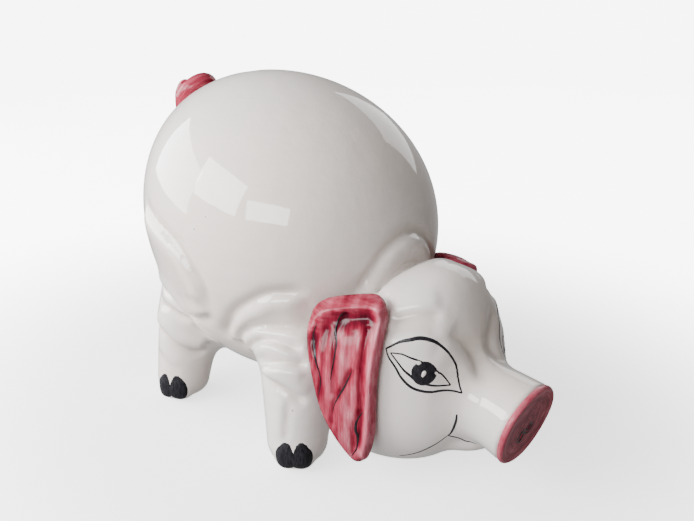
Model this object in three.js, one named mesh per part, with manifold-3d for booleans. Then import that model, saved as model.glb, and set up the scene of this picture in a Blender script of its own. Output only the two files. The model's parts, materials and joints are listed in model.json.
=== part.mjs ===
// A large glazed earthenware piggy bank. The pig stands with its rump high and its chin at the ground.
// Slip-cast hollow pieces (torso, head and four legs) and pressed pieces (ears, snout disc and tail)
// are luted together. Coins drop through a slot in the back into the torso, and come out of a hole in
// the belly once its rubber stopper is drawn.
//
// Millimetres. +X points to the snout, +Y to the pig's left and +Z up. The origin is on the ground,
// under the middle of the whole pig.

import * as THREE from 'three';
import { mergeVertices } from 'three/addons/utils/BufferGeometryUtils.js';
import Module from 'manifold-3d';

const wasm = await Module();
wasm.setup();

// ---------------------------------------------------------------- driving dimensions

// Casting
const WALL = 6; // thickness of the cast clay
const LUTE_GAP = 0.3; // clearance between two pieces that are luted together
const VENT_RADIUS = 5; // air holes between the torso and each hollow limb

// Torso: an egg that lies along the pig with its fat end forward and low
const TORSO_LENGTH = 281;
const TORSO_WIDTH = 236;
const TORSO_DEPTH = 248;
const TORSO_TAPER = 0.1; // growth of the egg's section at its front end, and shrinkage at its back
const TORSO_TILT = 24.6; // degrees, nose down
const BELLY_HEIGHT = 28; // ground to the underside of the belly
const COIN_SLOT_LENGTH = 40;
const COIN_SLOT_WIDTH = 6;
const COIN_SLOT_BEHIND_CREST = 45; // crest of the back to the middle of the slot

// Legs: columns with flat soles that lean in to the torso
const HIND_FOOT = { fromRump: 88, apart: 168, sole: 23, hip: 29, leanIn: 10, leanForward: 3 };
const FORE_FOOT = { fromChest: 36, apart: 176, sole: 24, hip: 33, leanIn: 12, leanForward: -8 };
const SOLE_ROUND = 2; // rounded edge round each sole

// Head: a skull with two cheeks, and a snout that widens to its end
const SKULL_AHEAD = 13.5; // front end of the torso to the centre of the skull, along the pig
const SKULL_LENGTH = 104;
const SKULL_WIDTH = 143;
const SKULL_HEIGHT = 179;
const SKULL_TILT = 18; // degrees, nose down
const SKULL_CENTRE_HEIGHT = 67;
const CHIN_CLEARANCE = 1; // ground to the flat underside of the head
const CHEEK_RADIUS = 54;
const CHEEK_SPACING = 40;
const CHEEK_FORWARD = 8; // skull centre to cheek centre, along the pig
const CHEEK_DROP = 12;
const NECK_HOLE_RADIUS = 14;

const SNOUT_REACH = 101.5; // skull centre to the middle of the snout's end, along the pig
const SNOUT_DROP = 17; // skull centre down to the middle of the snout's end
const SNOUT_TILT = 14; // degrees, nose down
const SNOUT_ROOT_RADIUS = 26;
const SNOUT_LENGTH = 80; // most of it is inside the skull
const SNOUT_DISC_RADIUS = 33;
const SNOUT_DISC_THICKNESS = 7;
const SNOUT_DISC_ROUND = 2.5;

// Ears: thick leaves that hang from the top of the head
const EAR_LENGTH = 128;
const EAR_WIDTH = 58;
const EAR_THICKNESS = 12;
const EAR_ROUND = 4;
const EAR_ROOT_RISE = 71; // skull centre up to the ear's front top corner
const EAR_ROOT_FORWARD = 10;
const EAR_OUTSIDE_SKULL = -7.5; // widest point of the skull out to the ear's front top corner
const EAR_SPLAY = 31; // degrees, the back edge swings out
const EAR_LEAN = 7; // degrees, the top leans in

// Tail: one turn of a rope of clay laid on the rump
const TAIL_BEHIND_CREST = 102; // crest of the back to the middle of the coil, along the pig
const TAIL_COIL_LENGTH = 56; // along the rump
const TAIL_COIL_WIDTH = 48;
const TAIL_ROPE = 19; // diameter of the rope
const TAIL_LIFT = 8; // the rump's skin to the middle of the rope

// Stopper: a rubber plug with a flange and a grip, in a flat land under the belly
const STOPPER_RADIUS = 14;
const STOPPER_PLAY = 0.3; // radial clearance in the belly hole
const STOPPER_DEPTH = 14; // length of the plug inside the hole
const STOPPER_LAND_RADIUS = 22;
const STOPPER_LAND_DEPTH = 2;
const STOPPER_FLANGE_OVERLAP = 4; // flange past the edge of the hole
const STOPPER_FLANGE_THICKNESS = 2.5;
const STOPPER_BORE_RADIUS = 9; // hollow inside the plug
const STOPPER_GRIP = { length: 20, thickness: 4, height: 5 };

// Facets round each shape
const TORSO_FACETS = { around: 36, along: 22 };
const TORSO_INNER_FACETS = { around: 24, along: 16 };
const SKULL_FACETS = { around: 28, along: 18 };
const SKULL_INNER_FACETS = { around: 20, along: 12 };
const CHEEK_FACETS = { around: 20, along: 14 };
const CHEEK_INNER_FACETS = { around: 14, along: 10 };
const LEG_FACETS = 16;
const SNOUT_FACETS = 24;
const TAIL_FACETS = 24;
const STOPPER_FACETS = 24;
const VENT_FACETS = 12;

const GLAZE = { color: 0xe9e4df, roughness: 0.15, metalness: 0 };
const ROSE_PAINT = { color: 0xb8505f, roughness: 0.2, metalness: 0 };
const RUBBER = { color: 0x26221f, roughness: 0.8, metalness: 0 };

// ---------------------------------------------------------------- solids and meshes

const radians = THREE.MathUtils.degToRad;
const MUCH = 1000; // longer than anything on the pig, for cutting tools
const OUTLINE_STEPS = 720; // points tried round the torso's outline to find its extremes
const HALVINGS = 40; // bisection steps to find the torso's skin

// A frame in the pig: where a piece sits and how it is turned.
function placed(position, rotation = new THREE.Euler()) {
  const frame = new THREE.Object3D();
  frame.position.copy(position);
  frame.rotation.copy(rotation);
  frame.updateMatrixWorld();
  return frame;
}

// The solid of a closed geometry that is drawn in the given frame.
function solidIn(frame, geometry) {
  const bare = geometry.clone();
  bare.deleteAttribute('normal');
  bare.deleteAttribute('uv');
  bare.applyMatrix4(frame.matrixWorld);
  const welded = mergeVertices(bare, 1e-3);
  const triangles = [];
  for (let i = 0; i < welded.index.count; i += 3) {
    const [a, b, c] = [0, 1, 2].map((k) => welded.index.getX(i + k));
    if (a !== b && b !== c && c !== a) triangles.push(a, b, c);
  }
  const vertProperties = Float32Array.from(welded.attributes.position.array);
  const triVerts = Uint32Array.from(triangles);
  return new wasm.Manifold(new wasm.Mesh({ numProp: 3, vertProperties, triVerts }));
}

// A named mesh that sits in the given frame and has the shape of the solid.
function meshOf(name, solid, frame, finish) {
  const shape = solid.getMesh();
  const geometry = new THREE.BufferGeometry();
  geometry.setAttribute('position', new THREE.BufferAttribute(Float32Array.from(shape.vertProperties), 3));
  geometry.setIndex(new THREE.BufferAttribute(Uint32Array.from(shape.triVerts), 1));
  geometry.applyMatrix4(frame.matrixWorld.clone().invert());
  geometry.computeVertexNormals();
  const mesh = new THREE.Mesh(geometry, new THREE.MeshStandardMaterial(finish));
  mesh.name = name;
  mesh.position.copy(frame.position);
  mesh.rotation.copy(frame.rotation);
  return mesh;
}

// An ellipsoid whose poles lie on its X axis. Its section grows by taper from the middle to +X.
function eggGeometry(radii, taper, facets) {
  const geometry = new THREE.SphereGeometry(1, facets.around, facets.along);
  geometry.rotateZ(-Math.PI / 2);
  const points = geometry.attributes.position;
  for (let i = 0; i < points.count; i += 1) {
    const swell = 1 + taper * points.getX(i);
    points.setXYZ(
      i,
      points.getX(i) * radii.x,
      points.getY(i) * radii.y * swell,
      points.getZ(i) * radii.z * swell,
    );
  }
  return geometry;
}

// A turned shape about the Z axis of its frame, from [radius, height] pairs, lowest first.
function turnedGeometry(profile, facets) {
  const points = profile.map(([radius, height]) => new THREE.Vector2(radius, height));
  return new THREE.LatheGeometry(points, facets).rotateX(Math.PI / 2);
}

// A round bar along Z, for drilling and trimming.
function barGeometry(radius, low, high, facets) {
  return turnedGeometry([[0, low], [radius, low], [radius, high], [0, high]], facets);
}

// A frame at one point whose Z axis points to another.
function aimed(from, to) {
  const frame = placed(from);
  frame.quaternion.setFromUnitVectors(new THREE.Vector3(0, 0, 1), to.clone().sub(from).normalize());
  frame.updateMatrixWorld();
  return frame;
}

// ---------------------------------------------------------------- torso

const torsoRadii = new THREE.Vector3(TORSO_LENGTH, TORSO_WIDTH, TORSO_DEPTH).divideScalar(2);
const torsoTurn = new THREE.Euler(0, radians(TORSO_TILT), 0);

// The furthest point of the tilted egg's outline along an axis (side 1) or against it (side -1),
// from the egg's centre.
function torsoExtreme(axis, side) {
  let extreme = new THREE.Vector3();
  for (let i = 0; i < OUTLINE_STEPS; i += 1) {
    const angle = (i / OUTLINE_STEPS) * 2 * Math.PI;
    const swell = 1 + TORSO_TAPER * Math.cos(angle);
    const point = new THREE.Vector3(
      torsoRadii.x * Math.cos(angle),
      0,
      torsoRadii.z * Math.sin(angle) * swell,
    ).applyEuler(torsoTurn);
    if (side * point[axis] > side * extreme[axis]) extreme = point;
  }
  return extreme;
}

const crest = torsoExtreme('z', 1);
const belly = torsoExtreme('z', -1);
const chest = torsoExtreme('x', 1);
const rump = torsoExtreme('x', -1);
const torsoFrame = placed(new THREE.Vector3(0, 0, BELLY_HEIGHT - belly.z), torsoTurn);

// The filled egg of the torso, grown or shrunk by a margin.
function torsoEgg(margin, facets) {
  const radii = torsoRadii.clone().addScalar(margin);
  return solidIn(torsoFrame, eggGeometry(radii, TORSO_TAPER, facets));
}

// The torso's skin above (side 1) or below (side -1) the middle of the egg at a place on the ground plan.
function torsoSkin(x, y, side) {
  const inner = new THREE.Matrix4().copy(torsoFrame.matrixWorld).invert();
  const outside = (z) => {
    const p = new THREE.Vector3(x, y, z).applyMatrix4(inner).divide(torsoRadii);
    const swell = 1 + TORSO_TAPER * THREE.MathUtils.clamp(p.x, -1, 1);
    return Math.hypot(p.x, p.y / swell, p.z / swell) > 1;
  };
  let within = torsoFrame.position.z;
  let beyond = within + side * (TORSO_LENGTH + TORSO_DEPTH);
  for (let i = 0; i < HALVINGS; i += 1) {
    const middle = (within + beyond) / 2;
    if (outside(middle)) beyond = middle;
    else within = middle;
  }
  return new THREE.Vector3(x, y, within);
}

const torsoClear = torsoEgg(LUTE_GAP, TORSO_FACETS);

// ---------------------------------------------------------------- legs

// A leg is a column whose rounded top is centred on the torso's skin at the hip.
function legPlan(foot, side) {
  const halfApart = foot.apart / 2;
  const along = 'fromRump' in foot ? rump.x + foot.fromRump : chest.x - foot.fromChest;
  const sole = new THREE.Vector3(along, side * halfApart, 0);
  const hip = torsoSkin(sole.x + foot.leanForward, side * (halfApart - foot.leanIn), -1);
  return { foot, sole, hip };
}

function legColumn({ foot, sole, hip }, inset) {
  const height = hip.z;
  const radiusAt = (z) => foot.sole + ((foot.hip - foot.sole) * z) / height - inset;
  const profile = [[0, inset]];
  if (inset === 0) profile.push([radiusAt(0) - SOLE_ROUND, 0]);
  profile.push([radiusAt(inset), inset === 0 ? SOLE_ROUND : inset]);
  const domeSteps = 6;
  for (let i = 0; i <= domeSteps; i += 1) {
    const angle = (i / domeSteps) * (Math.PI / 2);
    const radius = i === domeSteps ? 0 : radiusAt(height) * Math.cos(angle);
    profile.push([radius, height + radiusAt(height) * Math.sin(angle)]);
  }
  const lean = new THREE.Vector3().subVectors(hip, sole).divideScalar(height);
  const column = turnedGeometry(profile, LEG_FACETS);
  column.applyMatrix4(new THREE.Matrix4().makeShear(0, 0, 0, 0, lean.x, lean.y));
  return solidIn(placed(sole), column);
}

const legPlans = {
  leg_front_right: legPlan(FORE_FOOT, -1),
  leg_front_left: legPlan(FORE_FOOT, 1),
  leg_hind_right: legPlan(HIND_FOOT, -1),
  leg_hind_left: legPlan(HIND_FOOT, 1),
};

// ---------------------------------------------------------------- head

const skullCentre = new THREE.Vector3(chest.x + SKULL_AHEAD, 0, SKULL_CENTRE_HEIGHT);
const skullFrame = placed(skullCentre, new THREE.Euler(0, radians(SKULL_TILT), 0));
const snoutEnd = new THREE.Vector3(SNOUT_REACH, 0, -SNOUT_DROP).add(skullCentre);
// The snout's frame has its Z axis along the snout, outwards, and its origin at the snout's end.
const snoutFrame = placed(snoutEnd, new THREE.Euler(0, Math.PI / 2 + radians(SNOUT_TILT), 0));

// The filled head, shrunk by an inset. Its underside is cut level.
function headBlock(inset) {
  const skullFacets = inset > 0 ? SKULL_INNER_FACETS : SKULL_FACETS;
  const cheekFacets = inset > 0 ? CHEEK_INNER_FACETS : CHEEK_FACETS;
  const skullRadii = new THREE.Vector3(SKULL_LENGTH, SKULL_WIDTH, SKULL_HEIGHT).divideScalar(2);
  let block = solidIn(skullFrame, eggGeometry(skullRadii.subScalar(inset), 0, skullFacets));
  const cheekRadii = new THREE.Vector3().setScalar(CHEEK_RADIUS - inset);
  for (const side of [-1, 1]) {
    const centre = new THREE.Vector3(CHEEK_FORWARD, (side * CHEEK_SPACING) / 2, -CHEEK_DROP).add(skullCentre);
    block = block.add(solidIn(placed(centre), eggGeometry(cheekRadii, 0, cheekFacets)));
  }
  const snoutMouth = inset > 0 ? 0 : -SNOUT_DISC_THICKNESS - LUTE_GAP;
  const snoutProfile = [
    [0, -SNOUT_LENGTH],
    [SNOUT_ROOT_RADIUS - inset, -SNOUT_LENGTH],
    [SNOUT_DISC_RADIUS - inset, snoutMouth],
    [0, snoutMouth],
  ];
  block = block.add(solidIn(snoutFrame, turnedGeometry(snoutProfile, SNOUT_FACETS)));
  const below = new THREE.BoxGeometry(MUCH, MUCH, MUCH).translate(0, 0, CHIN_CLEARANCE + inset - MUCH / 2);
  return block.subtract(solidIn(placed(new THREE.Vector3()), below));
}

const headClear = headBlock(-LUTE_GAP);

function headSolid() {
  return headBlock(0).subtract(headBlock(WALL)).subtract(torsoClear);
}

// A hollow leg, trimmed where the torso and the head come before it.
function legSolid(plan) {
  return legColumn(plan, 0).subtract(legColumn(plan, WALL)).subtract(torsoClear).subtract(headClear);
}

// The face of the snout: a disc with rounded edges, pressed on to the snout's open end.
function snoutDiscSolid() {
  const steps = 3;
  const profile = [[0, -SNOUT_DISC_THICKNESS]];
  const corners = [[-SNOUT_DISC_THICKNESS + SNOUT_DISC_ROUND, -Math.PI / 2], [-SNOUT_DISC_ROUND, 0]];
  for (const [height, start] of corners) {
    for (let i = 0; i <= steps; i += 1) {
      const angle = start + (i / steps) * (Math.PI / 2);
      const radius = SNOUT_DISC_RADIUS - SNOUT_DISC_ROUND + SNOUT_DISC_ROUND * Math.cos(angle);
      profile.push([radius, height + SNOUT_DISC_ROUND * Math.sin(angle)]);
    }
  }
  profile.push([0, 0]);
  return solidIn(snoutFrame, turnedGeometry(profile, SNOUT_FACETS));
}

// ---------------------------------------------------------------- ears

// The ear's outline as shares of its width (backwards) and length (upwards) from its front top corner.
const EAR_OUTLINE = [
  [-0.08, 0.02], [-0.05, -0.25], [-0.03, -0.55], [0.02, -0.76], [0.09, -0.9], [0.24, -0.96],
  [0.42, -0.88], [0.66, -0.68], [0.83, -0.45], [0.91, -0.2], [0.85, -0.04], [0.5, 0.04], [0.15, 0.065],
];

function earFrame(side) {
  const root = new THREE.Vector3(
    EAR_ROOT_FORWARD,
    side * (SKULL_WIDTH / 2 + EAR_OUTSIDE_SKULL),
    EAR_ROOT_RISE,
  ).add(skullCentre);
  const upright = Math.PI / 2;
  const facing = Math.PI - side * radians(EAR_SPLAY);
  return placed(root, new THREE.Euler(upright - side * radians(EAR_LEAN), 0, facing, 'ZYX'));
}

function earSolid(side) {
  const corners = EAR_OUTLINE.map(([u, v]) => new THREE.Vector3(u * EAR_WIDTH, v * EAR_LENGTH, 0));
  const rim = new THREE.CatmullRomCurve3(corners, true).getPoints(2 * corners.length).slice(0, -1);
  const leaf = new THREE.ExtrudeGeometry(new THREE.Shape(rim.map((p) => new THREE.Vector2(p.x, p.y))), {
    depth: EAR_THICKNESS - 2 * EAR_ROUND,
    bevelThickness: EAR_ROUND,
    bevelSize: EAR_ROUND,
    bevelOffset: -EAR_ROUND,
    bevelSegments: 2,
    steps: 1,
  });
  leaf.translate(0, 0, EAR_ROUND - EAR_THICKNESS / 2);
  const wideFoot = { ...FORE_FOOT, sole: FORE_FOOT.sole + LUTE_GAP, hip: FORE_FOOT.hip + LUTE_GAP };
  const legClear = legColumn(legPlan(wideFoot, side), 0);
  return solidIn(earFrame(side), leaf).subtract(torsoClear).subtract(headClear).subtract(legClear);
}

// ---------------------------------------------------------------- tail

const tailSpot = torsoSkin(crest.x - TAIL_BEHIND_CREST, 0, 1);
const tailSlope = tailSpot.clone().sub(torsoSkin(tailSpot.x - 1, 0, 1));
const tailFrame = placed(tailSpot, new THREE.Euler(0, -Math.atan2(tailSlope.z, tailSlope.x), 0));

// One closed turn of clay rope in the rump's own slope: a ring whose front and back halves are drawn
// apart, sunk a little into the skin.
function tailSolid() {
  const stretch = (TAIL_COIL_LENGTH - TAIL_COIL_WIDTH) / 2;
  const ring = new THREE.TorusGeometry((TAIL_COIL_WIDTH - TAIL_ROPE) / 2, TAIL_ROPE / 2, 10, TAIL_FACETS);
  const points = ring.attributes.position;
  for (let i = 0; i < points.count; i += 1) {
    const half = Math.abs(points.getX(i)) < 1e-6 ? 0 : Math.sign(points.getX(i));
    points.setXYZ(i, points.getX(i) + half * stretch, points.getY(i), points.getZ(i) + TAIL_LIFT);
  }
  return solidIn(tailFrame, ring).subtract(torsoClear);
}

// ---------------------------------------------------------------- stopper and torso casting

const landHeight = BELLY_HEIGHT + STOPPER_LAND_DEPTH;
const stopperFrame = placed(new THREE.Vector3(belly.x, 0, landHeight - LUTE_GAP));

function stopperSolid() {
  const flangeRadius = STOPPER_RADIUS + STOPPER_PLAY + STOPPER_FLANGE_OVERLAP;
  const plug = turnedGeometry([
    [0, -STOPPER_FLANGE_THICKNESS],
    [flangeRadius, -STOPPER_FLANGE_THICKNESS],
    [flangeRadius, 0],
    [STOPPER_RADIUS, 0],
    [STOPPER_RADIUS, STOPPER_DEPTH],
    [STOPPER_BORE_RADIUS, STOPPER_DEPTH],
    [STOPPER_BORE_RADIUS, 0],
    [0, 0],
  ], STOPPER_FACETS);
  const { length, thickness, height } = STOPPER_GRIP;
  const grip = new THREE.BoxGeometry(length, thickness, height * 2);
  grip.translate(0, 0, -STOPPER_FLANGE_THICKNESS);
  const gripOnly = solidIn(stopperFrame, grip).subtract(
    solidIn(stopperFrame, barGeometry(MUCH, -STOPPER_FLANGE_THICKNESS / 2, MUCH, VENT_FACETS)),
  );
  return solidIn(stopperFrame, plug).add(gripOnly);
}

function torsoSolid() {
  let shell = torsoEgg(0, TORSO_FACETS).subtract(torsoEgg(-WALL, TORSO_INNER_FACETS));
  const slotX = crest.x - COIN_SLOT_BEHIND_CREST;
  const slot = new THREE.BoxGeometry(COIN_SLOT_LENGTH, COIN_SLOT_WIDTH, TORSO_DEPTH / 2);
  shell = shell.subtract(solidIn(placed(torsoSkin(slotX, 0, 1)), slot));
  const under = placed(new THREE.Vector3(belly.x, 0, 0));
  const hole = barGeometry(STOPPER_RADIUS + STOPPER_PLAY, 0, torsoFrame.position.z, STOPPER_FACETS);
  const land = barGeometry(STOPPER_LAND_RADIUS, 0, landHeight, STOPPER_FACETS);
  shell = shell.subtract(solidIn(under, hole)).subtract(solidIn(under, land));
  const centre = torsoFrame.position;
  const vent = barGeometry(VENT_RADIUS, -WALL, 3 * WALL, VENT_FACETS);
  for (const { hip } of Object.values(legPlans)) {
    shell = shell.subtract(solidIn(aimed(hip, centre), vent));
  }
  const neck = aimed(skullCentre, centre);
  const reach = skullCentre.distanceTo(centre);
  return shell.subtract(solidIn(neck, barGeometry(NECK_HOLE_RADIUS, 0, reach, VENT_FACETS)));
}

// ---------------------------------------------------------------- assembly

const pig = new THREE.Group();
pig.add(meshOf('torso_casting', torsoSolid(), torsoFrame, GLAZE));
pig.add(meshOf('head_casting', headSolid(), skullFrame, GLAZE));
pig.add(meshOf('snout_disc', snoutDiscSolid(), snoutFrame, ROSE_PAINT));
for (const [name, plan] of Object.entries(legPlans)) {
  pig.add(meshOf(name, legSolid(plan), placed(plan.sole), GLAZE));
}
pig.add(meshOf('ear_right', earSolid(-1), earFrame(-1), ROSE_PAINT));
pig.add(meshOf('ear_left', earSolid(1), earFrame(1), ROSE_PAINT));
pig.add(meshOf('tail_coil', tailSolid(), tailFrame, ROSE_PAINT));
pig.add(meshOf('belly_stopper', stopperSolid(), stopperFrame, RUBBER));

// Stand the pig with its origin on the ground under the middle of its length.
const extent = new THREE.Box3().setFromObject(pig, true);
pig.position.x = -(extent.min.x + extent.max.x) / 2;

const root = new THREE.Group();
root.add(pig);

export default root;
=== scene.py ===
"""Looks of a large hand-painted glazed pottery pig bank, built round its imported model.

The pig's outer clay is one glazed skin: the zero level of a distance field in which the torso, haunches,
legs, neck, head and snout run into each other, with the modelled folds of flesh pressed into it.  Ears,
snout disc, tail and stopper are separate pieces, and the brush work lies on the skin as thin strokes.
Lengths in this file are millimetres in the model's own frame, and meshes are written in metres.
"""
import json

import bpy
import numpy as np
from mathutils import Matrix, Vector


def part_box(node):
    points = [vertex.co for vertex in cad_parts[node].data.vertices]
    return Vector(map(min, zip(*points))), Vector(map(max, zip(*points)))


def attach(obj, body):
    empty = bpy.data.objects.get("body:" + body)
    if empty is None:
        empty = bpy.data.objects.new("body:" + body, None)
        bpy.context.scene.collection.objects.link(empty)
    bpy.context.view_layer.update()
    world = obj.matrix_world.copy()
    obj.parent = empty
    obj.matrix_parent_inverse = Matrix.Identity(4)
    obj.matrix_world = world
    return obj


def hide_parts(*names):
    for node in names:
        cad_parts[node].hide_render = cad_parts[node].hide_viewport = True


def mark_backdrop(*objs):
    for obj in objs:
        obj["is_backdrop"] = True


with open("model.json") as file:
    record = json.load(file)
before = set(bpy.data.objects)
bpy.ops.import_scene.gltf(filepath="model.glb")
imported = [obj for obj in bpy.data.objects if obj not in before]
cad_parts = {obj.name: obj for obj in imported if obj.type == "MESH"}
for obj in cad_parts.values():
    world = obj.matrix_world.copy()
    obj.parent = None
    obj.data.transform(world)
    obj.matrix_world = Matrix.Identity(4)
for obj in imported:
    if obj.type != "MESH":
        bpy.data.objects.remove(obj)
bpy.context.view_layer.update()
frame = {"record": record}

MM = 0.001


# ------------------------------------------------------------------ small vector helpers

def vec(*numbers):
    """One point or direction as an array of floats."""
    return np.array(numbers, float)


def unit(vectors):
    """Each vector divided by its own length."""
    return vectors / np.maximum(np.linalg.norm(vectors, axis=-1, keepdims=True), 1e-9)


def box_of(node):
    """Lowest and highest corner of a model node in millimetres."""
    low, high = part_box(node)
    return np.array(low) / MM, np.array(high) / MM


def right_side(points):
    """The same points folded on to the pig's right, where y is negative."""
    folded = points.copy()
    folded[..., 1] = -np.abs(folded[..., 1])
    return folded


def smooth_path(points, per_span=8, closed=False):
    """A Catmull-Rom curve through the points: in each span the point at t is half of
    2 b + (c - a) t + (2 a - 5 b + 4 c - d) t^2 + (3 b - a - 3 c + d) t^3."""
    points = np.asarray(points, float)
    if closed:
        knots = np.vstack([points[-1:], points, points[:2]])
    else:
        knots = np.vstack([2 * points[0] - points[1], points, 2 * points[-1] - points[-2]])
    t = (np.arange(per_span) / per_span)[None, :, None]
    a, b, c, d = (knots[i:len(knots) - 3 + i, None, :] for i in range(4))
    spans = 2 * b + (c - a) * t + (2 * a - 5 * b + 4 * c - d) * t**2 + (3 * b - a - 3 * c + d) * t**3
    curve = 0.5 * spans.reshape(-1, points.shape[1])
    return curve if closed else np.vstack([curve, points[-1:]])


# ------------------------------------------------------------------ distance fields

def ellipsoid(points, centre, radii, tilt=0.0, taper=0.0):
    """Signed distance, near the surface, to an ellipsoid turned nose down by tilt degrees:
    k (k - 1) / m, with k the length of q / r and m the length of q / r^2.  Its section across
    swells by the taper times the share of the way to its nose."""
    turn = np.radians(tilt)
    q = points - centre
    along = q[..., 0] * np.cos(turn) - q[..., 2] * np.sin(turn)
    up = q[..., 0] * np.sin(turn) + q[..., 2] * np.cos(turn)
    swell = 1 + taper * np.clip(along / radii[0], -1.2, 1.2)
    q = np.stack([along, q[..., 1] / swell, up / swell], -1)
    k = np.linalg.norm(q / radii, axis=-1)
    m = np.linalg.norm(q / np.square(radii), axis=-1)
    return k * (k - 1) / np.maximum(m, 1e-9)


def column(points, start, end, start_radius, end_radius):
    """Distance to the line from start to end, less a radius that changes evenly along it."""
    line = end - start
    share = np.clip((points - start) @ line / (line @ line), 0, 1)
    gap = np.linalg.norm(points - start - share[..., None] * line, axis=-1)
    return gap - (start_radius + (end_radius - start_radius) * share)


def melt(a, b, reach):
    """Smooth union: the lesser of two distances, less h^2 reach / 4 where h is the share of the reach
    by which they agree."""
    h = np.maximum(reach - np.abs(a - b), 0) / reach
    return np.minimum(a, b) - h * h * reach / 4


def carve(a, b, reach):
    """Smooth intersection: the smooth union turned inside out."""
    return -melt(-a, -b, reach)


TORSO_LOW, TORSO_HIGH = box_of("torso_casting")
TORSO_MIDDLE = (TORSO_LOW + TORSO_HIGH) / 2 + vec(-1.9, 0, 3.6)
TORSO_RADII = vec(140.5, 118, 124)
TORSO_TILT = 24.6
TORSO_TAPER = 0.1
WALL = 6.0

HIND_LOW, _ = box_of("leg_hind_right")
FORE_LOW, FORE_HIGH = box_of("leg_front_right")
HIND_FOOT = dict(sole=vec(HIND_LOW[0] + 26, HIND_LOW[1] + 22.8, 0), hip=vec(3, 10, 75), sole_radius=23.1,
                 hip_radius=28, toes=(-86, -49))
FORE_FOOT = dict(sole=vec(FORE_HIGH[0] - 25, FORE_LOW[1] + 23.8, 0), hip=vec(-8, 12, 75), sole_radius=24,
                 hip_radius=31, toes=(-69.5, -34.5))

DISC_LOW, DISC_HIGH = box_of("snout_disc")
SNOUT_TILT = 14.0
SNOUT_AXIS = vec(np.cos(np.radians(SNOUT_TILT)), 0, -np.sin(np.radians(SNOUT_TILT)))
SNOUT_RISE = vec(np.sin(np.radians(SNOUT_TILT)), 0, np.cos(np.radians(SNOUT_TILT)))
DISC_RADIUS = DISC_HIGH[1]
DISC_THICKNESS = 7.0
SNOUT_END = (DISC_LOW + DISC_HIGH) / 2 + SNOUT_AXIS * DISC_THICKNESS / 2

SKULL_MIDDLE = SNOUT_END + vec(-101.5, 0, 17)
SKULL_RADII = vec(52, 71.5, 89.5)
SKULL_TILT = 18.0
CHEEK_MIDDLE = SKULL_MIDDLE + vec(8, -20, -12)
CHEEK_RADII = vec(54, 47, 54)
CHIN_MIDDLE = SNOUT_END + vec(-62, 0, -22)
CHIN_RADII = vec(36, 30, 15)


def leg_field(folded, foot):
    """Distance to a leg: a column from the hip to a little above the sole, with two toes that swell from
    it at the front of the foot."""
    sole, hip = foot["sole"], foot["sole"] + foot["hip"]
    clay = column(folded, hip, sole + vec(0, 0, 18), foot["hip_radius"], foot["sole_radius"])
    for turn in np.radians(foot["toes"]):
        middle = sole + vec(np.cos(turn), np.sin(turn), 0) * (foot["sole_radius"] - 9) + vec(0, 0, 11)
        clay = melt(clay, ellipsoid(folded, middle, vec(11, 11, 17)), 3)
    return carve(clay, -folded[..., 2], 9)


def pig_field(points):
    """Signed distance to the pig's clay before its folds: torso, legs, skull, cheeks, snout and chin,
    melted together and cut level at the ground."""
    folded = right_side(points)
    clay = ellipsoid(points, TORSO_MIDDLE, TORSO_RADII, TORSO_TILT, TORSO_TAPER)
    clay = melt(clay, leg_field(folded, HIND_FOOT), 26)
    clay = melt(clay, leg_field(folded, FORE_FOOT), 26)
    head = ellipsoid(points, SKULL_MIDDLE, SKULL_RADII, SKULL_TILT)
    head = melt(head, ellipsoid(folded, CHEEK_MIDDLE, CHEEK_RADII), 14)
    clay = melt(clay, head, 12)
    snout = column(points, SNOUT_END - 80 * SNOUT_AXIS, SNOUT_END, 25.3, DISC_RADIUS)
    snout = carve(snout, (points - SNOUT_END) @ SNOUT_AXIS + DISC_THICKNESS * 0.6, 3)
    clay = melt(clay, snout, 20)
    clay = melt(clay, ellipsoid(points, CHIN_MIDDLE, CHIN_RADII), 6)
    return carve(clay, -points[..., 2], 4)


def slope_of(field, points, step=0.3):
    """Gradient of a field by differences of one step forward and back along each axis."""
    sides = []
    for axis in range(3):
        nudge = np.zeros(3)
        nudge[axis] = step
        sides.append((field(points + nudge) - field(points - nudge)) / (2 * step))
    return np.stack(sides, -1)


def settle(points, field, rounds=5):
    """Newton steps on to the field's zero level: each moves a point by -f g / |g|^2."""
    for _ in range(rounds):
        value = field(points)
        slope = slope_of(field, points)
        square = np.maximum((slope * slope).sum(-1), 0.05)
        step = -value[:, None] * slope / square[:, None]
        length = np.linalg.norm(step, axis=-1, keepdims=True)
        points = points + step * np.minimum(1, 4 / np.maximum(length, 1e-9))
    return points


# ------------------------------------------------------------------ folds of flesh

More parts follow.
